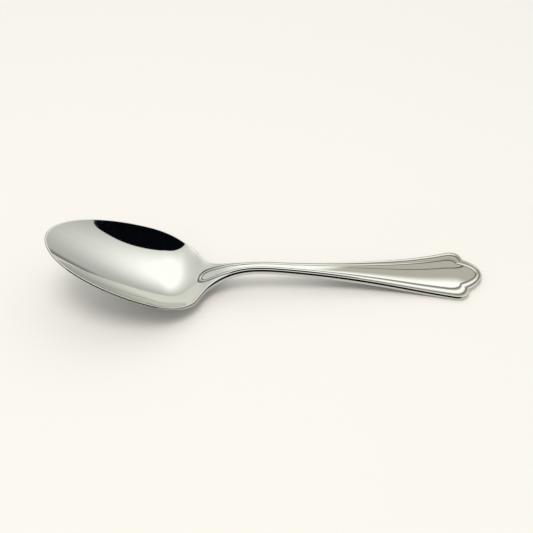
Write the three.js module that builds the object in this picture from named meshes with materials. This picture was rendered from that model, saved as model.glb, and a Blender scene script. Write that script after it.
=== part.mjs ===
// A tablespoon of polished stainless steel, lying on a table as it rests by itself.
// Its egg-shaped bowl and its flat handle, with a double-thread border and a trefoil end,
// meet face to face across the neck. X runs from the bowl's tip to the handle's end, Z is up.
import * as THREE from 'three';
import { mergeVertices } from 'three/addons/utils/BufferGeometryUtils.js';

// Driving sizes in millimetres. Places along the spoon are level distances from the bowl's tip,
// and places near the handle's end are level distances back from that end.
const overallLength = 202.2;
const bowlWidth = 49;
const bowlWidestAt = 45.8;
const bowlHeelAt = 72.3;
const bowlDepth = 11.8;
const bowlWall = 1.5;
const eggSoftness = 4;
const heelFrom = 48;
const heelTo = 79;
const wallSteepness = 0.08;
const lipFlatFrom = 58;
const lipFlatTo = 72;
const shoulderAt = 64.2;
const shoulderRunOut = 5.9;
const waistRunIn = 26.8;
const jointAt = 82;
const waistAt = 94;
const waistWidth = 6.1;
const endWidthAtShoulder = 28.2;
const endShoulderBack = 16.2;
const cornerLobeWidth = 30;
const notchBack = 7.6;
const notchWidth = 19;

// Roundness of the lobes, as shares of their own reach
const cornerRunOut = 0.45;
const cornerTurnIn = 0.12;
const lobeRunOut = 0.4;
const lobeFall = 0.84;
const lobeTurn = 0.5;

// The double-thread border: its width at the waist, its growth with the handle's half width,
// and the panel's corner, notch and tip inside it
const waistBorder = 2.2;
const borderGrowth = 0.3;
const panelShoulderBack = 18.2;
const panelCornerBack = 13.6;
const panelCornerWidth = 18.6;
const panelNotchBack = 11.4;
const panelNotchWidth = 12.6;
const panelTipBack = 3.1;
const threadHeight = 0.28;
const beadWaves = 1.5;
const threadFade = 9;
const borderRise = 0.5;

// Thickness, and the rounding of the edge
const neckThickness = 3.2;
const neckThickAt = 84;
const endThickness = 2.1;
const endThinBack = 14;
const edgeRound = 0.5;
const undersideRise = 0.6;
const restLandDepth = 0.12;

// Side view of the edge: slopes of the bowl and the neck, and where the strip bends
const bowlSlope = -0.455;
const neckSlope = 0.47;
const heelBendAt = 68.2;
const heelBendReach = 11.5;
const archBendAt = 86.3;
const archBendReach = 24;
const endBendBack = 24;
const endBendReach = 26;

// How finely the surfaces are drawn
const rimSteps = 16;
const rimTurn = 0.75 * Math.PI;
const shoulderSteps = 18;
const shoulderStop = 3;
const stemSteps = 26;
const lobeSteps = 8;
const borderSteps = 10;
const dishRings = [0, 0.13, 0.26, 0.39, 0.52, 0.64, 0.75, 0.84, 0.92];
const middleLineFrom = 18;
const middleLineTo = 66;
const polylineSteps = 40;
const liftStep = 0.05;
const slopeStep = 0.01;
const samePoint = 1e-4;

const steel = { color: 0xc8c8c2, metalness: 1, roughness: 0.12 };

// Smooth step from 0 to 1 over x = -1 to 1, and the bend that it makes in a straight line
function step(x) {
  const t = THREE.MathUtils.clamp(x, -1, 1);
  return (8 + 15 * t - 10 * t ** 3 + 3 * t ** 5) / 16;
}

function bend(distance, reach) {
  if (Math.abs(distance) >= reach) return Math.max(distance, 0);
  const t = distance / reach;
  return reach * (2.5 + 8 * t + 7.5 * t ** 2 - 2.5 * t ** 4 + 0.5 * t ** 6) / 16;
}

function stepBetween(x, from, to) {
  return step((2 * x - from - to) / (to - from));
}

// The bowl's egg: a coordinate that runs from -1 at the tip through 0 at the widest place
// to 1 at the heel, softened where its two halves meet
const softLength = (u) => Math.hypot(u, eggSoftness) - eggSoftness;
const tipReach = bowlWidestAt;
const heelReach = bowlHeelAt - bowlWidestAt;
const eggScale = tipReach * softLength(heelReach) + heelReach * softLength(tipReach);
const eggLinear = (softLength(tipReach) + softLength(heelReach)) / eggScale;
const eggUneven = (tipReach - heelReach) / eggScale;

function eggAlong(x) {
  const u = x - bowlWidestAt;
  return eggLinear * u + eggUneven * softLength(u);
}

function eggHalfWidth(x) {
  return bowlWidth / 2 * Math.sqrt(Math.max(0, 1 - eggAlong(x) ** 2));
}

// Level distance from the tip at which the egg coordinate has a given value
function eggPlace(value) {
  const c = value + eggUneven * eggSoftness;
  const steep = eggLinear ** 2 - eggUneven ** 2;
  const root = Math.sqrt(c ** 2 + steep * eggSoftness ** 2);
  return bowlWidestAt + (c * eggLinear - eggUneven * root) / steep;
}

// Half outline of the spoon in plan, from the tip to the end: rim, shoulder, stem, lobes
const point = (x, y) => new THREE.Vector2(x, y);
const shoulderGain = eggHalfWidth(shoulderAt + slopeStep) - eggHalfWidth(shoulderAt - slopeStep);
const shoulderSlope = shoulderGain / (2 * slopeStep);
const shoulder = point(shoulderAt, eggHalfWidth(shoulderAt));
const waist = point(waistAt, waistWidth / 2);
const endShoulder = point(overallLength - endShoulderBack, endWidthAtShoulder / 2);
const notch = point(overallLength - notchBack, notchWidth / 2);
const end = point(overallLength, 0);

const shoulderCurve = new THREE.CubicBezierCurve(
  shoulder,
  point(shoulder.x + shoulderRunOut, shoulder.y + shoulderRunOut * shoulderSlope),
  point(waist.x - waistRunIn, waist.y),
  waist,
);
const stemCurve = new THREE.QuadraticBezierCurve(
  waist,
  point((waist.x + endShoulder.x) / 2, waist.y),
  endShoulder,
);
const stemEndSlope = 2 * (endShoulder.y - waist.y) / (endShoulder.x - waist.x);

// A lobed end: a rounded corner that turns in to a notch, then the middle lobe round to the tip
function lobes(from, slope, cornerHalf, inner, tip) {
  const reach = inner.x - from.x;
  const corner = new THREE.CubicBezierCurve(
    from,
    point(from.x + cornerRunOut * reach, from.y + cornerRunOut * reach * slope),
    point(inner.x - cornerTurnIn * reach, cornerHalf),
    inner,
  );
  const middle = new THREE.CubicBezierCurve(
    inner,
    point(inner.x + lobeRunOut * (tip.x - inner.x), inner.y * lobeFall),
    point(tip.x, inner.y * lobeTurn),
    tip,
  );
  return [corner, middle];
}

const endCurves = lobes(endShoulder, stemEndSlope, cornerLobeWidth / 2, notch, end);

const rimCurve = [point(0, 0)];
for (let i = 1; i <= polylineSteps; i += 1) {
  const x = eggPlace(-Math.cos(Math.PI * i / polylineSteps));
  if (x < shoulderAt) rimCurve.push(point(x, eggHalfWidth(x)));
}
const handleCurves = [shoulderCurve, stemCurve, ...endCurves];
const halfOutline = [...rimCurve, shoulder];
for (const curve of handleCurves) halfOutline.push(...curve.getPoints(polylineSteps).slice(1));

function halfWidth(x) {
  const last = halfOutline.length - 1;
  let after = 1;
  while (after < last && halfOutline[after].x < x) after += 1;
  const b = halfOutline[after];
  const a = halfOutline[after - 1];
  return a.y + (b.y - a.y) * (x - a.x) / (b.x - a.x);
}

// Depth of the dish below the edge line: along the middle a parabola that runs out up the heel,
// and across it a flat floor with steep walls, whose lip flattens towards the neck
function dish(x, y) {
  const along = 1 - ((x - bowlWidestAt) / bowlWidestAt) ** 2;
  const outward = (y / Math.max(halfWidth(x), samePoint)) ** 2;
  const across = (1 - outward) * (1 + wallSteepness * outward);
  const lip = 1 - stepBetween(x, lipFlatFrom, lipFlatTo) * (1 - across);
  return bowlDepth * along * across * lip * (1 - stepBetween(x, heelFrom, heelTo));
}

// Thickness of the strip along the spoon
function thickness(x) {
  const toNeck = stepBetween(x, bowlWidestAt, neckThickAt);
  const toEnd = stepBetween(x, waistAt, overallLength - endThinBack);
  return bowlWall + (neckThickness - bowlWall) * toNeck + (endThickness - neckThickness) * toEnd;
}

// Height of the edge: the bowl's straight rim, the heel's bend, the arch and the level end.
// The rim is lifted until the belly touches the table, and the handle falls until its end does.
function bowlLine(x) {
  return bowlSlope * x + (neckSlope - bowlSlope) * bend(x - heelBendAt, heelBendReach);
}

let rimLift = 0;
for (let x = 0; x <= archBendAt - archBendReach; x += liftStep) {
  rimLift = Math.max(rimLift, dish(x, 0) + thickness(x) - bowlLine(x));
}

const endBendAt = overallLength - endBendBack;
const restingEdge = endThickness - restLandDepth;
const archFall = bend(overallLength - archBendAt, archBendReach);
const endFall = bend(overallLength - endBendAt, endBendReach);
const straightEnd = rimLift + bowlLine(overallLength) - neckSlope * archFall;
const handleSlope = (restingEdge - straightEnd) / (archFall - endFall);

function edgeLine(x) {
  const arch = (handleSlope - neckSlope) * bend(x - archBendAt, archBendReach);
  const level = -handleSlope * bend(x - endBendAt, endBendReach);
  return rimLift + bowlLine(x) + arch + level;
}

// Distance in plan from a place on the spoon to the nearest edge
function edgeDistance(x, y) {
  const place = point(x, Math.abs(y));
  let nearest = Infinity;
  for (let i = 1; i < halfOutline.length; i += 1) {
    const a = halfOutline[i - 1];
    const along = halfOutline[i].clone().sub(a);
    const share = THREE.MathUtils.clamp(place.clone().sub(a).dot(along) / along.lengthSq(), 0, 1);
    nearest = Math.min(nearest, a.clone().addScaledVector(along, share).distanceTo(place));
  }
  return nearest;
}

function rounding(x, y) {
  const short = Math.max(0, edgeRound - edgeDistance(x, y));
  return edgeRound - Math.sqrt(edgeRound ** 2 - short ** 2);
}

// The border's width, and the rise from the edge to the panel across it (share 0 to 1)
function border(x) {
  return waistBorder + borderGrowth * (halfWidth(x) - waistWidth / 2);
}

function rise(share, x) {
  return borderRise * (1 - (1 - share) ** 2) * stepBetween(x, shoulderAt, jointAt);
}

// Threads across the border: one along the edge and one inside it, each beside its groove
function thread(share, x) {
  const grown = stepBetween(x, jointAt, jointAt + threadFade);
  return threadHeight * (Math.cos(beadWaves * Math.PI * share) ** 2 - 1) * grown;
}

function topHeight(x, y, share) {
  return edgeLine(x) - dish(x, y) + rise(share, x) + thread(share, x) - rounding(x, y);
}

function underHeight(x, y) {
  const crowned = undersideRise * (y / Math.max(halfWidth(x), edgeRound)) ** 2;
  const pastNeck = stepBetween(x, shoulderAt, neckThickAt);
  const pastStem = stepBetween(x, waistAt, overallLength - endThinBack);
  const crown = crowned * (pastNeck - pastStem);
  const plain = edgeLine(x) - dish(x, y) - thickness(x) + crown;
  return Math.max(0, plain) + rounding(x, y);
}

const top = (x, y, share) => new THREE.Vector3(x, y, topHeight(x, y, share));
const under = (x, y) => new THREE.Vector3(x, y, underHeight(x, y));

// A closed body from a list of quads, each given by its corners anticlockwise from outside
function body(name, quads) {
  const corners = [];
  const apart = (a, b) => a.distanceTo(b) > samePoint;
  for (const [a, b, c, d] of quads) {
    for (const triangle of [[a, b, c], [a, c, d]]) {
      const [p, q, r] = triangle;
      if (apart(p, q) && apart(q, r) && apart(r, p)) corners.push(...triangle);
    }
  }
  const loose = new THREE.BufferGeometry().setFromPoints(corners);
  const geometry = mergeVertices(loose, samePoint);
  geometry.computeVertexNormals();
  const mesh = new THREE.Mesh(geometry, new THREE.MeshStandardMaterial(steel));
  mesh.name = name;
  return mesh;
}

// Quads between neighbouring rows of points
function between(rows) {
  const quads = [];
  for (let i = 1; i < rows.length; i += 1) {
    for (let j = 1; j < rows[i].length; j += 1) {
      quads.push([rows[i - 1][j - 1], rows[i][j - 1], rows[i][j], rows[i - 1][j]]);
    }
  }
  return quads;
}

// The joint across the neck: half widths of the points that the bowl and the handle share
const jointHalf = halfWidth(jointAt);
const jointPanel = jointHalf - border(jointAt);
const shares = Array.from({ length: borderSteps + 1 }, (_, i) => i / borderSteps);
const jointPlaces = shares.map((share) => THREE.MathUtils.lerp(jointHalf, jointPanel, share));
jointPlaces.push(jointPanel / 2, 0);

const shareAt = (x, y) => THREE.MathUtils.clamp((halfWidth(x) - Math.abs(y)) / border(x), 0, 1);

// Bowl: rings that shrink from the outline to a middle line, on the dish and on the belly
function makeBowl() {
  const middle = (p) => point(THREE.MathUtils.clamp(p.x, middleLineFrom, middleLineTo), 0);
  const rim = [];
  for (let i = 0; i <= rimSteps; i += 1) {
    const x = i ? eggPlace(-Math.cos(rimTurn * i / rimSteps)) : 0;
    if (x < shoulderAt) rim.push(point(x, eggHalfWidth(x)));
  }
  for (const p of shoulderCurve.getPoints(shoulderSteps)) {
    if (p.x < jointAt - shoulderStop) rim.push(p);
  }
  const half = [...rim, ...jointPlaces.map((y) => point(jointAt, y))];
  const mirrored = half.slice(1, -1).reverse().map((p) => point(p.x, -p.y));
  const loop = [...half, ...mirrored, half[0]];

  const ring = (share, height) => loop.map((p) => {
    const place = middle(p).lerp(p, share);
    return height(place.x, place.y);
  });
  const inward = (p) => 1 - edgeRound / p.distanceTo(middle(p));
  const nearRim = (height) => loop.map((p) => {
    const place = p.x === jointAt ? p : middle(p).lerp(p, inward(p));
    return height(place.x, place.y);
  });
  const dishTop = (x, y) => top(x, y, shareAt(x, y));
  const dishRows = dishRings.map((share) => ring(share, dishTop));
  const bellyRows = dishRings.map((share) => ring(share, under));
  const rows = [
    ...dishRows, nearRim(dishTop), ring(1, dishTop),
    ring(1, under), nearRim(under), ...bellyRows.reverse(),
  ];
  return body('bowl', between(rows).map((quad) => quad.reverse()));
}

// Handle: rows that follow the outline, over the threads to the panel and its middle line
function makeHandle() {
  const outer = [];
  const inner = [];
  const panelShoulder = point(overallLength - panelShoulderBack, 0);
  panelShoulder.y = halfWidth(panelShoulder.x) - border(panelShoulder.x);
  for (let i = 0; i <= stemSteps; i += 1) {
    const x = THREE.MathUtils.lerp(jointAt, endShoulder.x, i / stemSteps);
    const innerX = THREE.MathUtils.lerp(jointAt, panelShoulder.x, i / stemSteps);
    outer.push(point(x, halfWidth(x)));
    inner.push(point(innerX, halfWidth(innerX) - border(innerX)));
  }
  const panelNotch = point(overallLength - panelNotchBack, panelNotchWidth / 2);
  const panelTip = point(overallLength - panelTipBack, 0);
  const panelSlope = stemEndSlope * (1 - borderGrowth);
  const panelCurves = lobes(panelShoulder, panelSlope, panelCornerWidth / 2, panelNotch, panelTip);
  endCurves.forEach((curve, i) => {
    outer.push(...curve.getPoints(lobeSteps).slice(1));
    inner.push(...panelCurves[i].getPoints(lobeSteps).slice(1));
  });

  const fanAt = overallLength - panelCornerBack;
  const column = (outerPoint, innerPoint, side) => {
    const spine = point(Math.min(innerPoint.x, fanAt), 0);
    const places = shares.map((share) => outerPoint.clone().lerp(innerPoint, share));
    places.push(innerPoint.clone().lerp(spine, 0.5), spine);
    const tops = places.map((p, i) => top(p.x, side * p.y, Math.min(1, i / borderSteps)));
    const unders = places.map((p) => under(p.x, side * p.y));
    return { tops, unders };
  };
  const right = outer.map((p, i) => column(p, inner[i], -1));
  const left = outer.map((p, i) => column(p, inner[i], 1)).reverse();
  const columns = [...right, ...left.slice(1)];
  const topRows = columns.map(({ tops }) => tops);
  const underRows = columns.map(({ unders }) => [...unders].reverse());
  const edgeRows = columns.map(({ tops, unders }) => [unders[0], tops[0]]);
  const face = ({ tops, unders }) => tops.map((p, i) => [p, unders[i]]);
  return body('handle', [
    ...between(topRows),
    ...between(underRows),
    ...between(edgeRows),
    ...between(face(columns[0])),
    ...between(face(columns.at(-1))).map((quad) => quad.reverse()),
  ]);
}

const spoon = new THREE.Group();
spoon.name = 'tablespoon';
spoon.add(makeBowl(), makeHandle());
spoon.position.x = -overallLength / 2;

export default spoon;
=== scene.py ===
import math

import bpy
import numpy as np
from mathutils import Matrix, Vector


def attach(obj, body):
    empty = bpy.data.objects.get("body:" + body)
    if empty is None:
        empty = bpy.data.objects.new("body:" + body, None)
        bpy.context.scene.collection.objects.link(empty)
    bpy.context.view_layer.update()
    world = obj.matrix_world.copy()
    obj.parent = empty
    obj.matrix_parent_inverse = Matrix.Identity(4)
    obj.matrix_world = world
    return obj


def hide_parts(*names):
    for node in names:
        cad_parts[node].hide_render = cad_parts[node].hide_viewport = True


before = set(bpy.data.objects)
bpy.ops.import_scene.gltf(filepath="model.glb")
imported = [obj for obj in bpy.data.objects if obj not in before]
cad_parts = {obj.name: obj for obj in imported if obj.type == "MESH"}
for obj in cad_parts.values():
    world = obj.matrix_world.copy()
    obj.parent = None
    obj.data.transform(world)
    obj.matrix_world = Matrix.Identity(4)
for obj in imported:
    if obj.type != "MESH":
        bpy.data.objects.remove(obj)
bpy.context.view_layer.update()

# The spoon's sizes in millimetres, the same as the solids have. Places along the spoon are level
# distances from the bowl's tip, and places near the handle's end are distances back from that end.
MM = 0.001
OVERALL_LENGTH = 202.2
BOWL_WIDTH = 49
BOWL_WIDEST_AT = 45.8
BOWL_HEEL_AT = 72.3
BOWL_DEPTH = 11.8
BOWL_WALL = 1.5
EGG_SOFTNESS = 4
HEEL_FROM = 48
HEEL_TO = 79
WALL_STEEPNESS = 0.08
LIP_FLAT_FROM = 58
LIP_FLAT_TO = 72
SHOULDER_AT = 64.2
SHOULDER_RUN_OUT = 5.9
WAIST_RUN_IN = 26.8
JOINT_AT = 82
WAIST_AT = 94
WAIST_WIDTH = 6.1
END_SHOULDER_WIDTH = 28.2
END_SHOULDER_BACK = 16.2
CORNER_LOBE_WIDTH = 30
NOTCH_BACK = 7.6
NOTCH_WIDTH = 19

# Roundness of the lobes, as shares of their own reach
CORNER_RUN_OUT = 0.45
CORNER_TURN_IN = 0.12
LOBE_RUN_OUT = 0.4
LOBE_FALL = 0.84
LOBE_TURN = 0.5

# The double-thread border, the panel inside it, and the tongue: the U in which the threads close on the heel
WAIST_BORDER = 2.2
BORDER_GROWTH = 0.3
PANEL_SHOULDER_BACK = 18.2
PANEL_CORNER_BACK = 13.6
PANEL_CORNER_WIDTH = 18.6
PANEL_NOTCH_BACK = 11.4
PANEL_NOTCH_WIDTH = 12.6
PANEL_TIP_BACK = 3.1
THREAD_HEIGHT = 0.28
GROOVE_ROUND = 0.25
BEAD_WAVES = 1.5
BORDER_RISE = 0.5
# The painted shade in the grooves: how far it reaches past the border, and how narrow it is on the handle
# and the tongue
GROOVE_FOOT = 0.06
GROOVE_NARROW = 2
TONGUE_GROOVE_NARROW = 0.8
TONGUE_THREAD_GAIN = 1.3
# How much painted shade the bowl's edge face gets
EDGE_PAINTED_SHADE = 0.5
PANEL_CROWN = 0.07
CROWN_RUN = 30
TONGUE_TIP_AT = 65
TONGUE_WIDTH = 9
TONGUE_STRETCH = 1.4

# Thickness, and the rounding of the edge
NECK_THICKNESS = 3.2
NECK_THICK_AT = 84
END_THICKNESS = 2.1
END_THIN_BACK = 14
RIM_LAND = 0.7
EDGE_BEVEL = 0.42
EDGE_SLOPE = 1
EDGE_SOFT = 0.2
EDGE_ROUND = 0.25
UNDERSIDE_RISE = 0.6
REST_LAND_DEPTH = 0.12

# Side view of the edge
BOWL_SLOPE = -0.455
NECK_SLOPE = 0.47
HEEL_BEND_AT = 68.2
HEEL_BEND_REACH = 11.5
ARCH_BEND_AT = 86.3
ARCH_BEND_REACH = 24
END_BEND_BACK = 24
END_BEND_REACH = 26

# Corners closer together than this are one corner, and faces smaller than this don't lead the shading
SAME_PLACE = 1e-5
SLIVER_AREA = 2e-3


def step(x):
    """Smooth step from 0 to 1 over x = -1 to 1."""
    t = np.clip(x, -1, 1)
    return (8 + 15 * t - 10 * t ** 3 + 3 * t ** 5) / 16


def bend(distance, reach):
    """The bend that the smooth step makes in a straight line."""
    t = np.clip(distance / reach, -1, 1)
    curved = reach * (2.5 + 8 * t + 7.5 * t ** 2 - 2.5 * t ** 4 + 0.5 * t ** 6) / 16
    return np.where(np.abs(distance) >= reach, np.maximum(distance, 0), curved)


def step_between(x, start, end):
    return step((2 * x - start - end) / (end - start))


def soft_length(u):
    return np.hypot(u, EGG_SOFTNESS) - EGG_SOFTNESS


TIP_REACH = BOWL_WIDEST_AT
HEEL_REACH = BOWL_HEEL_AT - BOWL_WIDEST_AT
EGG_SCALE = TIP_REACH * soft_length(HEEL_REACH) + HEEL_REACH * soft_length(TIP_REACH)
EGG_LINEAR = (soft_length(TIP_REACH) + soft_length(HEEL_REACH)) / EGG_SCALE
EGG_UNEVEN = (TIP_REACH - HEEL_REACH) / EGG_SCALE


def egg_along(x):
    """Coordinate from -1 at the bowl's tip through 0 at its widest place to 1 at its heel."""
    u = x - BOWL_WIDEST_AT
    return EGG_LINEAR * u + EGG_UNEVEN * soft_length(u)


def egg_place(value):
    """Distance from the tip at which the egg coordinate has a given value."""
    c = value + EGG_UNEVEN * EGG_SOFTNESS
    steep = EGG_LINEAR ** 2 - EGG_UNEVEN ** 2
    root = np.sqrt(c ** 2 + steep * EGG_SOFTNESS ** 2)
    return BOWL_WIDEST_AT + (c * EGG_LINEAR - EGG_UNEVEN * root) / steep


def egg_half_width(x):
    return BOWL_WIDTH / 2 * np.sqrt(np.maximum(0, 1 - egg_along(x) ** 2))


def bezier(points, count):
    """Points along a quadratic or cubic curve, its two ends included."""
    t = np.linspace(0, 1, count + 1)[:, None]
    p = np.array(points, float)
    degree = len(p) - 1
    return sum(math.comb(degree, i) * t ** i * (1 - t) ** (degree - i) * p[i] for i in range(degree + 1))


def lobes(start, slope, corner_half, notch, tip, count):
    """A lobed end: a rounded corner that turns in to a notch, then the middle lobe round to the tip."""
    reach = notch[0] - start[0]
    corner = bezier([
        start,
        (start[0] + CORNER_RUN_OUT * reach, start[1] + CORNER_RUN_OUT * reach * slope),
        (notch[0] - CORNER_TURN_IN * reach, corner_half),
        notch,
    ], count)
    middle = bezier([
        notch,
        (notch[0] + LOBE_RUN_OUT * (tip[0] - notch[0]), notch[1] * LOBE_FALL),
        (tip[0], notch[1] * LOBE_TURN),
        tip,
    ], count)
    return np.vstack([corner, middle[1:]])


SLOPE_STEP = 0.01
SHOULDER_GAIN = egg_half_width(SHOULDER_AT + SLOPE_STEP) - egg_half_width(SHOULDER_AT - SLOPE_STEP)
SHOULDER_SLOPE = SHOULDER_GAIN / (2 * SLOPE_STEP)
SHOULDER = (SHOULDER_AT, egg_half_width(SHOULDER_AT))
WAIST = (WAIST_AT, WAIST_WIDTH / 2)
END_SHOULDER = (OVERALL_LENGTH - END_SHOULDER_BACK, END_SHOULDER_WIDTH / 2)
STEM_END_SLOPE = 2 * (END_SHOULDER[1] - WAIST[1]) / (END_SHOULDER[0] - WAIST[0])
NOTCH = (OVERALL_LENGTH - NOTCH_BACK, NOTCH_WIDTH / 2)
END = (OVERALL_LENGTH, 0)


def rim_points(count):
    turn = math.acos(-egg_along(SHOULDER_AT))
    x = egg_place(-np.cos(np.linspace(0, turn, count + 1)))
    return np.column_stack([x, egg_half_width(x)])


def shoulder_points(count):
    return bezier([
        SHOULDER,
        (SHOULDER[0] + SHOULDER_RUN_OUT, SHOULDER[1] + SHOULDER_RUN_OUT * SHOULDER_SLOPE),
        (WAIST[0] - WAIST_RUN_IN, WAIST[1]),
        WAIST,
    ], count)


def stem_points(count):
    return bezier([WAIST, ((WAIST[0] + END_SHOULDER[0]) / 2, WAIST[1]), END_SHOULDER], count)


def end_points(count):
    return lobes(END_SHOULDER, STEM_END_SLOPE, CORNER_LOBE_WIDTH / 2, NOTCH, END, count)


OUTLINE_STEPS = 400
LOBE_OUTLINE_STEPS = 200
HALF_OUTLINE = np.vstack([
    rim_points(OUTLINE_STEPS),
    shoulder_points(OUTLINE_STEPS)[1:],
    stem_points(OUTLINE_STEPS)[1:],
    end_points(LOBE_OUTLINE_STEPS)[1:],
])


def half_width(x):
    return np.interp(x, HALF_OUTLINE[:, 0], HALF_OUTLINE[:, 1])


def dish(x, y):
    """Depth below the edge line: a flat floor with steep walls, whose lip flattens towards the neck."""
    along = 1 - ((x - BOWL_WIDEST_AT) / BOWL_WIDEST_AT) ** 2
    beside = (y / np.maximum(half_width(x), SAME_PLACE)) ** 2
    across = (1 - beside) * (1 + WALL_STEEPNESS * beside)
    lip = 1 - step_between(x, LIP_FLAT_FROM, LIP_FLAT_TO) * (1 - across)
    return BOWL_DEPTH * along * across * lip * (1 - step_between(x, HEEL_FROM, HEEL_TO))


def thickness(x):
    to_neck = step_between(x, BOWL_WIDEST_AT, NECK_THICK_AT)
    to_end = step_between(x, WAIST_AT, OVERALL_LENGTH - END_THIN_BACK)
    return BOWL_WALL + (NECK_THICKNESS - BOWL_WALL) * to_neck + (END_THICKNESS - NECK_THICKNESS) * to_end


def bowl_line(x):
    return BOWL_SLOPE * x + (NECK_SLOPE - BOWL_SLOPE) * bend(x - HEEL_BEND_AT, HEEL_BEND_REACH)


# The rim is lifted until the belly touches the table, and the handle falls until its end does
BELLY_STEP = 0.05
BELLY = np.arange(0, ARCH_BEND_AT - ARCH_BEND_REACH, BELLY_STEP)
RIM_LIFT = np.max(dish(BELLY, 0) + thickness(BELLY) - bowl_line(BELLY))
END_BEND_AT = OVERALL_LENGTH - END_BEND_BACK
ARCH_FALL = bend(OVERALL_LENGTH - ARCH_BEND_AT, ARCH_BEND_REACH)
END_FALL = bend(OVERALL_LENGTH - END_BEND_AT, END_BEND_REACH)
STRAIGHT_END = RIM_LIFT + bowl_line(OVERALL_LENGTH) - NECK_SLOPE * ARCH_FALL
HANDLE_SLOPE = (END_THICKNESS - REST_LAND_DEPTH - STRAIGHT_END) / (ARCH_FALL - END_FALL)


def edge_line(x):
    arch = (HANDLE_SLOPE - NECK_SLOPE) * bend(x - ARCH_BEND_AT, ARCH_BEND_REACH)
    level = -HANDLE_SLOPE * bend(x - END_BEND_AT, END_BEND_REACH)
    return RIM_LIFT + bowl_line(x) + arch + level


def border(x):
    return WAIST_BORDER + BORDER_GROWTH * (half_width(x) - WAIST_WIDTH / 2)


def share_at(x, y):
    """Share of the way from the edge across the border to the panel."""
    return np.clip((half_width(x) - np.abs(y)) / border(x), 0, 1)


def rise(share, x):
    return BORDER_RISE * (1 - (1 - np.minimum(share, 1)) ** 2) * step_between(x, SHOULDER_AT, JOINT_AT)


def threads(share):
    """Two round threads, one along the edge and one inside it, with a groove beside each."""
    wave = np.cos(BEAD_WAVES * np.pi * np.clip(share, 0, 1))
    bead = np.hypot(wave, GROOVE_ROUND) - GROOVE_ROUND
    return THREAD_HEIGHT * (bead / (math.hypot(1, GROOVE_ROUND) - GROOVE_ROUND) - 1)


def groove(share, narrowness):
    """How deep in a groove a place lies, from 0 on the threads and the panel to 1 at a groove's bottom: the
    share of painted shade there.
    """
    between_threads = (1 - np.abs(np.cos(BEAD_WAVES * np.pi * np.clip(share, 0, 1)))) ** narrowness
    return between_threads * np.exp(-(np.maximum(share - 1, 0) / GROOVE_FOOT) ** 2)


def crown(x, y, share):
    """Convex rise of the panel, which fades out at the joint and at the handle's end."""
    stem_x = np.clip(x, JOINT_AT, END_SHOULDER[0])
    half = half_width(stem_x) - border(stem_x)
    from_joint = step_between(x, JOINT_AT, JOINT_AT + CROWN_RUN)
    to_end = 1 - step_between(x, END_SHOULDER[0], OVERALL_LENGTH)
    return PANEL_CROWN * half * (1 - (y / half) ** 2) * from_joint * to_end * step_between(share, 0, 1)


TONGUE_HALF = float(half_width(JOINT_AT))
TONGUE_BORDER = float(border(JOINT_AT))
TONGUE_ROUND_AT = TONGUE_TIP_AT + TONGUE_STRETCH * TONGUE_WIDTH / 2


def tongue_half(x):
    """Half-width of the U in which the threads close on the bowl's heel."""
    return TONGUE_HALF + (TONGUE_WIDTH / 2 - TONGUE_HALF) * (1 - step_between(x, TONGUE_ROUND_AT, JOINT_AT))


def tongue_share(x, y):
    """As share_at, for that U, whose round end is drawn out along the spoon."""
    across = np.hypot(np.minimum(x - TONGUE_ROUND_AT, 0) / TONGUE_STRETCH, y)
    return (tongue_half(x) - EDGE_BEVEL - across) / (TONGUE_BORDER - EDGE_BEVEL)


def towards_joint(x):
    """Share of the way along the tongue, from its round end to the joint."""
    return step_between(x, TONGUE_ROUND_AT, JOINT_AT)


def top_height(x, y, share, thread_share):
    """Height of the upper face, with threads that stand higher on the tongue than on the handle."""
    gain = TONGUE_THREAD_GAIN + (1 - TONGUE_THREAD_GAIN) * towards_joint(x)
    return edge_line(x) - dish(x, y) + rise(share, x) + gain * threads(thread_share)


def under_height(x, y):
    """Height of the underside, which is crowned along the stem and flat where it rests on the table."""
    crowned = UNDERSIDE_RISE * (y / np.maximum(half_width(x), EDGE_ROUND)) ** 2
    past_neck = step_between(x, SHOULDER_AT, NECK_THICK_AT)
    past_stem = step_between(x, WAIST_AT, OVERALL_LENGTH - END_THIN_BACK)
    plain = edge_line(x) - dish(x, y) - thickness(x) + crowned * (past_neck - past_stem)
    return np.maximum(0, plain)


# How finely the surface is drawn: stations along the spoon, and rows across each station
RIM_STATIONS = 330
SHOULDER_STATIONS = 260
STEM_STATIONS = 280
LOBE_STATIONS = 90
FACE_ROWS = 20
FLANGE_ROWS = 36
FLANGE_CROWDING = 1.4
ROUND_ROWS = 6
BORDER_ROWS = 44
PANEL_ROWS = 26
UNDER_ROWS = 18


def outward(points):
    """Outward direction, in plan, at each point of a half outline from the tip to the end."""
    along = np.gradient(points, axis=0)
    normal = np.column_stack([-along[:, 1], along[:, 0]])
    return normal / np.linalg.norm(normal, axis=1)[:, None]


def edge_drop(distance, wall_slope):
    """Drop at a distance in from the outline: a level land that ends the wall, then a sloping edge face."""
    land = wall_slope * bend(RIM_LAND - distance, EDGE_SOFT)
    return land + EDGE_SLOPE * bend(EDGE_BEVEL - distance, EDGE_SOFT)


def edge_painted_shade(distance):
    """How much painted shade the edge gets at a distance in from the outline: a dark line painted on its
    face, none on its land.
    """
    return EDGE_PAINTED_SHADE * (1 - step_between(distance, EDGE_BEVEL - EDGE_SOFT, EDGE_BEVEL + EDGE_SOFT))


def rounding(distance):
    """Rise of the rounded lower edge at a distance in from the outline."""
    short = np.clip(EDGE_ROUND - distance, 0, EDGE_ROUND)
    return EDGE_ROUND - np.sqrt(EDGE_ROUND ** 2 - short ** 2)


def on_edge_face():
    """Distances in from the outline at which the edge face has its rows, the outline first."""
    return np.linspace(0, RIM_LAND + EDGE_SOFT, FACE_ROWS + 1)


def on_round():
    """The same for the rounded lower edge."""
    return EDGE_ROUND * (1 - np.cos(np.linspace(0, math.pi / 2, ROUND_ROWS + 1)))


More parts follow.
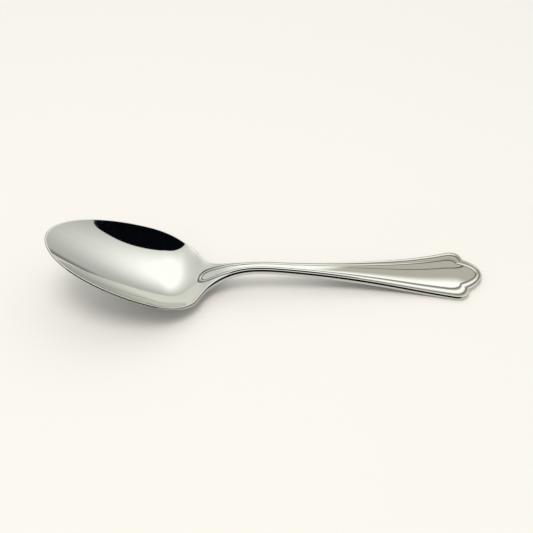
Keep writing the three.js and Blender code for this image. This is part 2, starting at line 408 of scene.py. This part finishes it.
def bowl_stations():
    """Half outline of the bowl from its tip to the joint, and the outward directions on it."""
    neck = shoulder_points(SHOULDER_STATIONS)
    to_joint = neck[neck[:, 0] < JOINT_AT - SAME_PLACE]
    points = np.vstack([rim_points(RIM_STATIONS), to_joint[1:], [(JOINT_AT, TONGUE_HALF)]])
    directions = outward(points)
    directions[0] = (-1, 0)
    directions[-1] = (0, 1)
    return points, directions


def handle_stations():
    """Half outline of the handle from the joint to its end, the outward directions, and the panel's edge."""
    neck = shoulder_points(SHOULDER_STATIONS)
    past_joint = neck[neck[:, 0] > JOINT_AT + SAME_PLACE]
    stem = np.vstack([[(JOINT_AT, TONGUE_HALF)], past_joint, stem_points(STEM_STATIONS)[1:]])
    ends = end_points(LOBE_STATIONS)[1:]
    points = np.vstack([stem, ends])
    directions = outward(points)
    directions[0] = (0, 1)
    directions[-1] = (1, 0)
    panel_shoulder_at = OVERALL_LENGTH - PANEL_SHOULDER_BACK
    share = (stem[:, 0] - JOINT_AT) / (END_SHOULDER[0] - JOINT_AT)
    panel_stem = np.column_stack([
        JOINT_AT + share * (panel_shoulder_at - JOINT_AT),
        stem[:, 1] - border(stem[:, 0]),
    ])
    panel_ends = lobes(
        panel_stem[-1],
        STEM_END_SLOPE * (1 - BORDER_GROWTH),
        PANEL_CORNER_WIDTH / 2,
        (OVERALL_LENGTH - PANEL_NOTCH_BACK, PANEL_NOTCH_WIDTH / 2),
        (OVERALL_LENGTH - PANEL_TIP_BACK, 0),
        LOBE_STATIONS,
    )
    return points, directions, np.vstack([panel_stem, panel_ends[1:]])


def bowl_top(points, directions):
    """Rows of the dish at each station, from the outline in to the middle, close together on the U."""
    distances = on_edge_face()
    edge = points[:, None] - directions[:, None] * distances[None, :, None]
    last = edge[:, -1]
    wide = tongue_half(last[:, :1]) - distances[-1]
    narrow = np.where(last[:, :1] < BOWL_WIDEST_AT, np.minimum(1, last[:, 1:] / (2 * wide)), 1)
    border_rows = wide - np.linspace(0, TONGUE_BORDER - distances[-1], BORDER_ROWS + 1)[None, 1:]
    panel_rows = border_rows[:, -1:] * np.linspace(1, 0, PANEL_ROWS + 1)[None, 1:]
    tongue_rows = np.hstack([border_rows, panel_rows]) * narrow
    flange = np.linspace(0, 1, FLANGE_ROWS + 1)[None, 1:] ** FLANGE_CROWDING
    flange_rows = last[:, 1:] + (wide * narrow - last[:, 1:]) * flange
    rows_y = np.hstack([flange_rows, tongue_rows])
    x = np.hstack([edge[:, :, 0], np.repeat(last[:, :1], rows_y.shape[1], axis=1)])
    y = np.hstack([edge[:, :, 1], rows_y])
    rim_slope = dish(edge[:, -1, 0], edge[:, -1, 1])[:, None] / distances[-1]
    drop = np.hstack([edge_drop(distances[None, :], rim_slope), np.zeros_like(rows_y)])
    thread_share = tongue_share(x, y)
    z = top_height(x, y, share_at(x, y), thread_share) - drop
    # The fourth value is painted shade: in the grooves' bottoms, and on the bowl's edge face, fading out
    # towards the joint
    narrowness = TONGUE_GROOVE_NARROW + (GROOVE_NARROW - TONGUE_GROOVE_NARROW) * towards_joint(x)
    painted_shade = groove(thread_share, narrowness)
    painted_shade[:, :len(distances)] += edge_painted_shade(distances) * (1 - towards_joint(edge[:, :, 0]))
    return np.stack([x, y, z, np.minimum(painted_shade, 1)], axis=2)


def handle_top(points, directions, panel):
    """Rows of the border and the panel at each station, from the outline in to the middle."""
    inward = np.sum((points - panel) * directions, axis=1)[:, None]
    edge_share = on_edge_face()[None, :] / inward
    flange_share = np.repeat(edge_share[:, -1:], FLANGE_ROWS, axis=1)
    grow = np.linspace(0, 1, BORDER_ROWS + 1)[None, 1:]
    border_share = edge_share[:, -1:] + (1 - edge_share[:, -1:]) * grow
    share = np.hstack([edge_share, flange_share, border_share])
    on_border = points[:, None] + (panel - points)[:, None] * share[:, :, None]
    spine = np.column_stack([
        np.minimum(panel[:, 0], OVERALL_LENGTH - PANEL_CORNER_BACK),
        np.zeros(len(panel)),
    ])
    grow = np.linspace(0, 1, PANEL_ROWS + 1)[None, 1:]
    on_panel = panel[:, None] + (spine - panel)[:, None] * grow[:, :, None]
    plan = np.concatenate([on_border, on_panel], axis=1)
    panel_share = 1 + grow * np.linalg.norm(spine - panel, axis=1)[:, None] / inward
    share = np.hstack([share, panel_share])
    x, y = plan[:, :, 0], plan[:, :, 1]
    face_share = EDGE_BEVEL / inward
    thread_share = (share - face_share) / (1 - face_share)
    z = top_height(x, y, share, thread_share) + crown(x, y, share) - edge_drop(share * inward, 0)
    # The fourth value is the painted shade in the grooves
    return np.stack([x, y, z, groove(thread_share, GROOVE_NARROW)], axis=2)


def underside(points, directions, middle):
    """Rows of the underside at each station, from the outline in to the middle."""
    distances = on_round()
    edge = points[:, None] - directions[:, None] * distances[None, :, None]
    last = edge[:, -1]
    grow = np.linspace(0, 1, UNDER_ROWS + 1)[1:]
    inner = last[:, None] + (middle - last)[:, None] * grow[None, :, None]
    plan = np.concatenate([edge, inner], axis=1)
    x, y = plan[:, :, 0], plan[:, :, 1]
    drop = np.concatenate([rounding(distances), np.zeros(UNDER_ROWS)])
    z = under_height(x, y) + drop[None, :]
    return np.stack([x, y, z, np.zeros_like(z)], axis=2)


def rings(top, under):
    """Closed rings round the steel, one at each station: over the top, round the edge and underneath."""
    half = np.concatenate([top[:, ::-1], under], axis=1)
    other_half = half[:, -2:0:-1] * np.array([1, -1, 1, 1])
    return np.concatenate([half, other_half], axis=1)


def bowl_rings():
    points, directions = bowl_stations()
    top = bowl_top(points, directions)
    middle = top[:, -1, :2]
    return rings(top, underside(points, directions, middle))


def handle_rings():
    points, directions, panel = handle_stations()
    top = handle_top(points, directions, panel)
    middle = top[:, -1, :2]
    return rings(top, underside(points, directions, middle))


def strip_faces(stations, ring_size):
    """Faces of the strip between neighbouring rings, a ring's worth at a time."""
    corner = np.arange(stations - 1)[:, None] * ring_size + np.arange(ring_size)[None, :]
    beside = np.roll(corner, -1, axis=1)
    faces = np.stack([corner, corner + ring_size, beside + ring_size, beside], axis=2)
    return faces.reshape(-1, 4)


def merge_places(places, faces):
    """One corner for each place, the faces on those corners without repeats, and each place's corner."""
    keys = np.round(places[:, :3] / SAME_PLACE)
    first, same = np.unique(keys, axis=0, return_index=True, return_inverse=True)[1:]
    same = same.reshape(-1)
    merged = [list(dict.fromkeys(face)) for face in same[faces].tolist()]
    return places[first], merged, same


def smooth_normals(places, faces):
    """Normal of the whole unbroken surface at each of its corners, led by the smallest faces round it."""
    sums = np.zeros_like(places)
    for sides in (3, 4):
        group = np.array([face for face in faces if len(face) == sides])
        corners = places[group]
        facing = np.cross(corners[:, 2] - corners[:, 0], corners[:, -1] - corners[:, 1])
        facing /= np.sum(facing ** 2, axis=1)[:, None] + SLIVER_AREA ** 2
        for corner in range(sides):
            np.add.at(sums, group[:, corner], facing)
    return sums / np.linalg.norm(sums, axis=1)[:, None]


def steel_piece(name, places, painted_shade, normals, faces, joint_ring, joint_facing):
    """One piece of the spoon: its share of the skin, closed by the flat face of the joint."""
    used = np.unique(np.concatenate([np.array(face) for face in faces]))
    new_number = np.zeros(len(places), int)
    new_number[used] = np.arange(len(used))
    skin = [new_number[face].tolist() for face in faces]
    joint_face = new_number[joint_ring].tolist()
    middle = np.array([OVERALL_LENGTH / 2, 0, 0])
    mesh = bpy.data.meshes.new(name)
    mesh.from_pydata(((places[used] - middle) * MM).tolist(), [], skin + [joint_face])
    mesh.polygons.foreach_set("use_smooth", [True] * len(skin) + [False])
    piece_normals = normals[used]
    facing = [piece_normals[corner] for face in skin for corner in face]
    facing += [joint_facing] * len(joint_face)
    mesh.normals_split_custom_set(facing)
    # Each corner carries its share of the painted shade, for the grooves and the bowl's edge face
    mesh.attributes.new("painted_shade", "FLOAT", "POINT").data.foreach_set("value", painted_shade[used])
    piece = bpy.data.objects.new(name, mesh)
    bpy.context.scene.collection.objects.link(piece)
    return piece


def make_spoon():
    """The polished bowl and the polished handle, cut from one unbroken skin at the joint."""
    bowl = bowl_rings()
    handle = handle_rings()
    whole = np.concatenate([bowl, handle[1:]])
    stations, ring_size = whole.shape[:2]
    joint_station = len(bowl) - 1
    cut = joint_station * ring_size
    places, faces, corner_at = merge_places(whole.reshape(-1, 4), strip_faces(stations, ring_size))
    places, painted_shade = places[:, :3], places[:, 3]
    joint_ring = np.array(list(dict.fromkeys(corner_at[cut:cut + ring_size].tolist())))
    bowl_faces = [face for face in faces[:cut] if len(face) > 2]
    handle_faces = [face for face in faces[cut:] if len(face) > 2]
    normals = smooth_normals(places, bowl_faces + handle_faces)
    skin = (places, painted_shade, normals)
    polished_bowl = steel_piece("polished_bowl", *skin, bowl_faces, joint_ring[::-1], (1, 0, 0))
    polished_handle = steel_piece("polished_handle", *skin, handle_faces, joint_ring, (-1, 0, 0))
    return polished_bowl, polished_handle


def linear(hex_colour):
    """An sRGB hex colour as linear red, green, blue and alpha."""
    values = [int(hex_colour[i:i + 2], 16) / 255 for i in (1, 3, 5)]
    return [v / 12.92 if v <= 0.04045 else ((v + 0.055) / 1.055) ** 2.4 for v in values] + [1.0]


def add_node(tree, kind, settings=None, **inputs):
    """Adds a node with its settings, and a value or a link on each input by name or by number (i0, i1)."""
    node = tree.nodes.new(kind)
    for name, value in (settings or {}).items():
        setattr(node, name, value)
    for name, value in inputs.items():
        socket = node.inputs[int(name[1:])] if name[1:].isdigit() else node.inputs[name.replace("_", " ")]
        if isinstance(value, bpy.types.NodeSocket):
            tree.links.new(value, socket)
        else:
            socket.default_value = value
    return node


def new_material(name):
    material = bpy.data.materials.new(name)
    material.use_nodes = True
    material.node_tree.nodes.clear()
    return material, material.node_tree


# Stainless steel, struck and then buffed to a mirror. It gives the eye a clear, slightly grey image of the
# room.
# Painted shade makes it darker and browner in the grooves and on the bowl's edge face. Real buffing lines
# are a few hundredths of a millimetre wide, too fine to show, so these sizes in mm are coarser.
STEEL_COLOUR = "#CBCBC6"
PAINTED_SHADE_COLOUR = "#463A30"
BUFFING_LINE_LENGTH = 16.67
BUFFING_LINE_WIDTH = 0.667
BUFFING_DETAIL = 3
BUFFING_SPREAD = (0.35, 0.7)
POLISH_ROUGHNESS = (0.025, 0.045)


def mirror_polished_stainless_steel(name):
    material, tree = new_material(name)
    place = add_node(tree, "ShaderNodeTexCoord").outputs["Object"]
    line_sizes = (BUFFING_LINE_LENGTH, BUFFING_LINE_WIDTH, BUFFING_LINE_WIDTH)
    per_line = [1 / (size * MM) for size in line_sizes]
    lines = add_node(tree, "ShaderNodeMapping", Vector=place, Scale=per_line).outputs["Vector"]
    buffing = add_node(
        tree, "ShaderNodeTexNoise", Vector=lines, Scale=1.0, Detail=BUFFING_DETAIL,
    ).outputs["Fac"]
    haze = add_node(
        tree, "ShaderNodeMapRange", i0=buffing,
        i1=BUFFING_SPREAD[0], i2=BUFFING_SPREAD[1], i3=POLISH_ROUGHNESS[0], i4=POLISH_ROUGHNESS[1],
    ).outputs["Result"]
    # Painted shade: a dark brown mixed into the steel's colour in the grooves and on the bowl's edge face
    painted_shade = add_node(tree, "ShaderNodeAttribute", {"attribute_name": "painted_shade"}).outputs["Fac"]
    tone = add_node(
        tree, "ShaderNodeMix", {"data_type": "RGBA"},
        Factor=painted_shade, A=linear(STEEL_COLOUR), B=linear(PAINTED_SHADE_COLOUR),
    ).outputs["Result"]
    shader = add_node(tree, "ShaderNodeBsdfPrincipled", Base_Color=tone, Metallic=1.0, Roughness=haze)
    add_node(tree, "ShaderNodeOutputMaterial", Surface=shader.outputs["BSDF"])
    return material


# The table is matt white laminate: an even warm white that takes soft shadows and shows no highlight
TABLE_COLOUR = "#C9C6C4"
TABLE_ROUGHNESS = 0.6

# The dark front of the room is black cloth: nearly nothing comes back from it but a trace of blue
CLOTH_COLOUR = "#060A10"


def white_table():
    material, tree = new_material("matt white laminate")
    shader = add_node(
        tree, "ShaderNodeBsdfPrincipled", Base_Color=linear(TABLE_COLOUR), Roughness=TABLE_ROUGHNESS,
    )
    add_node(tree, "ShaderNodeOutputMaterial", Surface=shader.outputs["BSDF"])
    return material


def black_cloth():
    material, tree = new_material("black cloth")
    shader = add_node(tree, "ShaderNodeEmission", Color=linear(CLOTH_COLOUR), Strength=1.0)
    add_node(tree, "ShaderNodeOutputMaterial", Surface=shader.outputs["Emission"])
    return material


def flat_sheet(name, corners, faces, material):
    mesh = bpy.data.meshes.new(name)
    mesh.from_pydata(corners, [], faces)
    mesh.materials.append(material)
    sheet = bpy.data.objects.new(name, mesh)
    bpy.context.scene.collection.objects.link(sheet)
    return sheet


# The dark front of the room, level over the camera, in metres. Its back edge bulges out over the handle,
# and it ends on the handle's side in a rounded corner and a slant.
FRONT_STRIPS = 150
FRONT_WING_STRIPS = 30
FRONT_HEIGHT = 0.6
FRONT_REACH = 6
FRONT_WING_FROM = -1.5
FRONT_WING_BACK = -0.42
FRONT_WING_SLANT = 0.26
FRONT_FROM = -0.195
FRONT_BACK = -0.245
FRONT_CORNER = 0.08
FRONT_CORNER_DROP = 0.12
FRONT_BULGE = 0.15
FRONT_BULGE_AT = 0.59
FRONT_BULGE_REACH = 0.24
FRONT_TO = 0.797
FRONT_TO_BACK = -0.3
FRONT_TO_SLANT = 3


def dark_front():
    """Strips of the dark front, from its back edge to its front edge."""
    wing_x = np.linspace(FRONT_WING_FROM, FRONT_FROM, FRONT_WING_STRIPS)
    x = np.linspace(FRONT_FROM, FRONT_TO, FRONT_STRIPS)
    wing_back = FRONT_WING_BACK + FRONT_WING_SLANT * (wing_x - FRONT_FROM)
    corner = np.clip(1 - (FRONT_TO - x) / FRONT_CORNER, 0, 1)
    back = FRONT_BACK + FRONT_BULGE * np.exp(-((x - FRONT_BULGE_AT) / FRONT_BULGE_REACH) ** 2)
    back -= FRONT_CORNER_DROP * (1 - np.sqrt(1 - corner ** 2))
    x = np.concatenate([wing_x, x])
    back = np.concatenate([wing_back, back])
    front = np.where(x < FRONT_BULGE_AT, -FRONT_REACH, FRONT_TO_BACK - FRONT_TO_SLANT * (FRONT_TO - x))
    edges = np.concatenate([np.column_stack([x, back]), np.column_stack([x, np.minimum(front, back)])])
    place = np.arange(len(x) - 1)
    strips = np.column_stack([place, place + 1, place + 1 + len(x), place + len(x)])
    return [(a, b, FRONT_HEIGHT) for a, b in edges.tolist()], strips.tolist()


# A grey card stands behind the handle, in metres. It is lit tissue paper: an even soft grey in the handle's
# polish, with a dark seam along it, that thins out to nothing at its top and its left end.
GREY_PAPER_COLOUR = "#FFFBEE"
GREY_PAPER_LEVEL = 0.73
GREY_SEAM_LEVEL = 0.15
GREY_CARD_BEHIND = 0.06
GREY_CARD_ENDS = (0.045, 0.17)
GREY_CARD_END_FADE = 0.016
GREY_CARD_FOOT = 0.02
GREY_CARD_FADES_FROM = 0.08
GREY_CARD_TOP = 0.12
GREY_CARD_SEAM = 0.053
GREY_CARD_SEAM_WIDTH = 0.0026


def grey_paper():
    material, tree = new_material("grey tissue paper")
    place = add_node(tree, "ShaderNodeTexCoord").outputs["Object"]
    apart = add_node(tree, "ShaderNodeSeparateXYZ", Vector=place)
    along, height = apart.outputs["X"], apart.outputs["Z"]
    seam = add_node(
        tree, "ShaderNodeMath", {"operation": "COMPARE"},
        i0=height, i1=GREY_CARD_SEAM, i2=GREY_CARD_SEAM_WIDTH / 2,
    ).outputs["Value"]
    level = add_node(
        tree, "ShaderNodeMapRange", i0=seam, i1=0.0, i2=1.0, i3=GREY_PAPER_LEVEL, i4=GREY_SEAM_LEVEL,
    ).outputs["Result"]
    top = add_node(
        tree, "ShaderNodeMapRange", {"interpolation_type": "SMOOTHSTEP"},
        i0=height, i1=GREY_CARD_FADES_FROM, i2=GREY_CARD_TOP, i3=1.0, i4=0.0,
    ).outputs["Result"]
    end = add_node(
        tree, "ShaderNodeMapRange", {"interpolation_type": "SMOOTHSTEP"},
        i0=along, i1=GREY_CARD_ENDS[0], i2=GREY_CARD_ENDS[0] + GREY_CARD_END_FADE, i3=0.0, i4=1.0,
    ).outputs["Result"]
    cover = add_node(tree, "ShaderNodeMath", {"operation": "MULTIPLY"}, i0=top, i1=end).outputs["Value"]
    clear = add_node(tree, "ShaderNodeBsdfTransparent").outputs["BSDF"]
    paper = add_node(
        tree, "ShaderNodeEmission", Color=linear(GREY_PAPER_COLOUR), Strength=level,
    ).outputs["Emission"]
    shader = add_node(tree, "ShaderNodeMixShader", i0=cover, i1=clear, i2=paper)
    add_node(tree, "ShaderNodeOutputMaterial", Surface=shader.outputs["Shader"])
    return material


# The table's edges, in metres from the middle of the spoon
TABLE_SIDE = 2
TABLE_FRONT = -3
TABLE_BACK = 0.58


def make_stage():
    """The table, and the dark front and the grey card that only the polish shows."""
    whole = [(0, 1, 2, 3)]
    floor = flat_sheet("table_top", [
        (-TABLE_SIDE, TABLE_FRONT, 0), (TABLE_SIDE, TABLE_FRONT, 0),
        (TABLE_SIDE, TABLE_BACK, 0), (-TABLE_SIDE, TABLE_BACK, 0),
    ], whole, white_table())
    front = flat_sheet("dark_front", *dark_front(), black_cloth())
    left, right = GREY_CARD_ENDS
    grey = flat_sheet("grey_card", [
        (left, GREY_CARD_BEHIND, GREY_CARD_FOOT), (right, GREY_CARD_BEHIND, GREY_CARD_FOOT),
        (right, GREY_CARD_BEHIND, GREY_CARD_TOP), (left, GREY_CARD_BEHIND, GREY_CARD_TOP),
    ], whole, grey_paper())
    for sheet in (front, grey):
        sheet.visible_camera = False
        sheet.visible_diffuse = False
        sheet.visible_shadow = False


# Brightness of the light tent: its left and right walls, the soft box overhead, and the horizon
TENT_COLOUR = "#FCFEF9"
WALL_FACING = (-0.7, 0.0)
WALL_LEVELS = (0.95, 0.7)
SOFT_BOX_AXIS = (0.2, 0.366, 1.0)
SOFT_BOX_EDGES = (0.5, 0.95)
SOFT_BOX_FALL_OFF = 2
SOFT_BOX_LEVEL = 1.7
HORIZON_FACING = (-0.03, 0.08)
HORIZON_LEVEL = 0.3

# The lamp over the table, in metres and watts
LAMP_COLOUR = "#FFFAF0"
LAMP_SIZE = 0.6
LAMP_POWER = 8
LAMP_AT = (-0.12, -0.15, 1.2)


def make_light():
    """A white light tent, brightest overhead, with a dark room beyond the table and a lamp above."""
    world = bpy.data.worlds.new("light_tent")
    bpy.context.scene.world = world
    world.use_nodes = True
    tree = world.node_tree
    tree.nodes.clear()
    direction = add_node(tree, "ShaderNodeTexCoord").outputs["Generated"]
    towards_box = add_node(
        tree, "ShaderNodeVectorMath", {"operation": "DOT_PRODUCT"}, i0=direction, i1=SOFT_BOX_AXIS,
    ).outputs["Value"]
    near_box = add_node(
        tree, "ShaderNodeMapRange", i0=towards_box,
        i1=SOFT_BOX_EDGES[0], i2=SOFT_BOX_EDGES[1], i3=0.0, i4=1.0,
    ).outputs["Result"]
    fall_off = add_node(
        tree, "ShaderNodeMath", {"operation": "POWER"}, i0=near_box, i1=SOFT_BOX_FALL_OFF,
    ).outputs["Value"]
    apart = add_node(tree, "ShaderNodeSeparateXYZ", Vector=direction)
    wall = add_node(
        tree, "ShaderNodeMapRange", i0=apart.outputs["X"],
        i1=WALL_FACING[0], i2=WALL_FACING[1], i3=WALL_LEVELS[0], i4=WALL_LEVELS[1],
    ).outputs["Result"]
    tent = add_node(
        tree, "ShaderNodeMapRange", i0=fall_off, i1=0.0, i2=1.0, i3=wall, i4=SOFT_BOX_LEVEL,
    ).outputs["Result"]
    horizon = add_node(
        tree, "ShaderNodeMapRange", i0=apart.outputs["Z"],
        i1=HORIZON_FACING[0], i2=HORIZON_FACING[1], i3=HORIZON_LEVEL, i4=1.0,
    ).outputs["Result"]
    bright = add_node(
        tree, "ShaderNodeMath", {"operation": "MULTIPLY"}, i0=tent, i1=horizon,
    ).outputs["Value"]
    back = add_node(tree, "ShaderNodeBackground", Color=linear(TENT_COLOUR), Strength=bright)
    add_node(tree, "ShaderNodeOutputWorld", Surface=back.outputs["Background"])
    lamp = bpy.data.lights.new("overhead_lamp", "AREA")
    lamp.shape = "DISK"
    lamp.size = LAMP_SIZE
    lamp.energy = LAMP_POWER
    lamp.color = linear(LAMP_COLOUR)[:3]
    lamp_object = bpy.data.objects.new("overhead_lamp", lamp)
    lamp_object.location = LAMP_AT
    lamp_object.visible_glossy = False
    bpy.context.scene.collection.objects.link(lamp_object)


# The camera's place in millimetres, how far in degrees it looks down and turns, and its picture
CAMERA_AT = (-15.6, -300.3, 346.0)
CAMERA_ELEVATION = 48
CAMERA_TURN = 2.58
FOCAL_PIXELS = 960
IMAGE_PIXELS = 533
SENSOR_WIDTH = 36
CLIP_START = 10


def make_camera():
    data = bpy.data.cameras.new("camera")
    data.sensor_width = SENSOR_WIDTH
    data.lens = SENSOR_WIDTH * FOCAL_PIXELS / IMAGE_PIXELS
    data.clip_start = CLIP_START * MM
    camera = bpy.data.objects.new("camera", data)
    bpy.context.scene.collection.objects.link(camera)
    camera.location = Vector(CAMERA_AT) * MM
    camera.rotation_euler = (math.radians(90 - CAMERA_ELEVATION), 0, -math.radians(CAMERA_TURN))
    bpy.context.scene.camera = camera


bpy.context.scene.view_settings.view_transform = "Standard"
make_camera()
make_light()
make_stage()
polished_bowl, polished_handle = make_spoon()
polished_bowl.data.materials.append(mirror_polished_stainless_steel("mirror-polished stainless bowl"))
polished_handle.data.materials.append(mirror_polished_stainless_steel("mirror-polished stainless handle"))
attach(polished_bowl, "root")
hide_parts("bowl")
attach(polished_handle, "root")
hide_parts("handle")
